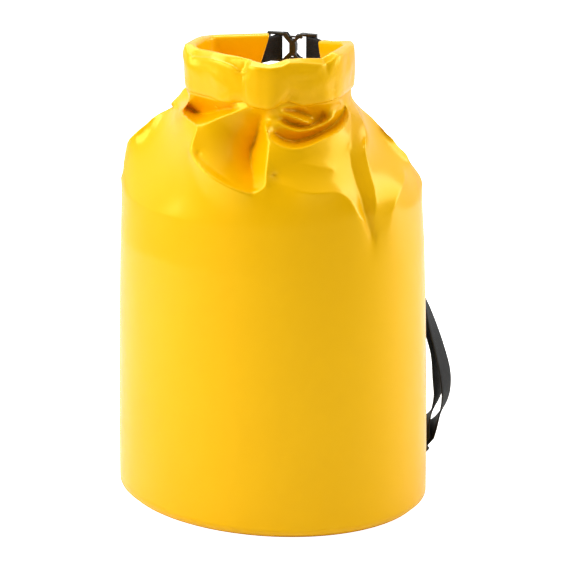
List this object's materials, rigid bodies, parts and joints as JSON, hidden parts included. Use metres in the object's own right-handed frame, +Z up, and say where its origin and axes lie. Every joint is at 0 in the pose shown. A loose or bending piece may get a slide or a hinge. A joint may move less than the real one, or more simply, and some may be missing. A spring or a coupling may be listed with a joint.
{
  "type": "roll-top dry bag",
  "caption": "Waterproof roll-top bag with an oval base, rolled mouth clipped into a ring by a side-release buckle, and two adjustable webbing shoulder straps.",
  "frame": {"origin": "centre of the oval base, on the surface the bag stands on", "axes": "+Z up along the bag, +X to the right along the base's long side, +Y to the back, where the buckle and the straps are"},
  "size_m": [0.3384, 0.257, 0.4806],
  "materials": {
    "coated_fabric": "satin-gloss coated tarpaulin",
    "patch_fabric": "satin coated tarpaulin patch",
    "stiffener": "plain strip",
    "webbing": "ribbed woven webbing",
    "buckle_plastic": "moulded satin plastic",
    "ring_metal": "black coated wire"
  },
  "bodies": {
    "bag": {"body_wall": "coated_fabric", "base_disc": "coated_fabric", "base_weld_flange": "coated_fabric", "closure_roll": "coated_fabric", "mouth_stiffener": "stiffener", "webbing_tab_left": "webbing", "webbing_tab_right": "webbing", "buckle_female": "buckle_plastic", "top_anchor_patch_left": "patch_fabric", "shoulder_strap_left": "webbing", "strap_return_left": "webbing", "lower_ring_left": "ring_metal", "lower_anchor_loop_left": "webbing", "lower_anchor_patch_left": "patch_fabric", "top_anchor_patch_right": "patch_fabric", "shoulder_strap_right": "webbing", "strap_return_right": "webbing", "lower_ring_right": "ring_metal", "lower_anchor_loop_right": "webbing", "lower_anchor_patch_right": "patch_fabric"},
    "buckle_male": {"buckle_male": "buckle_plastic"},
    "prong_upper": {"prong_upper": "buckle_plastic"},
    "prong_lower": {"prong_lower": "buckle_plastic"},
    "strap_slide_left": {"strap_slide_left": "buckle_plastic"},
    "strap_slide_right": {"strap_slide_right": "buckle_plastic"}
  },
  "joints": [
    {"name": "buckle_release", "type": "slide", "parent": "bag", "child": "buckle_male", "axis": [-1, 0, 0], "range_m": [0, 0.018], "deforming": ["webbing_tab_left", "prong_upper", "prong_lower"]},
    {"name": "prong_upper_squeeze", "type": "hinge", "parent": "buckle_male", "child": "prong_upper", "pos_m": [-0.0065, 0.079, 0.4686], "axis": [0, 1, 0], "range_deg": [0, 6], "stiffness_Nm_per_rad": 0.02},
    {"name": "prong_lower_squeeze", "type": "hinge", "parent": "buckle_male", "child": "prong_lower", "pos_m": [-0.0065, 0.079, 0.4474], "axis": [0, 1, 0], "range_deg": [-6, 0], "stiffness_Nm_per_rad": 0.02},
    {"name": "strap_adjust_left", "type": "slide", "parent": "bag", "child": "strap_slide_left", "axis": [-0.4462, 0.0661, -0.8925], "range_m": [-0.012, 0.012], "deforming": ["strap_return_left"]},
    {"name": "strap_adjust_right", "type": "slide", "parent": "bag", "child": "strap_slide_right", "axis": [0.4462, 0.0661, -0.8925], "range_m": [-0.012, 0.012], "deforming": ["strap_return_right"]}
  ],
  "couplings": [
    {"joint": "prong_lower_squeeze", "follows": "prong_upper_squeeze", "ratio": -1}
  ]
}
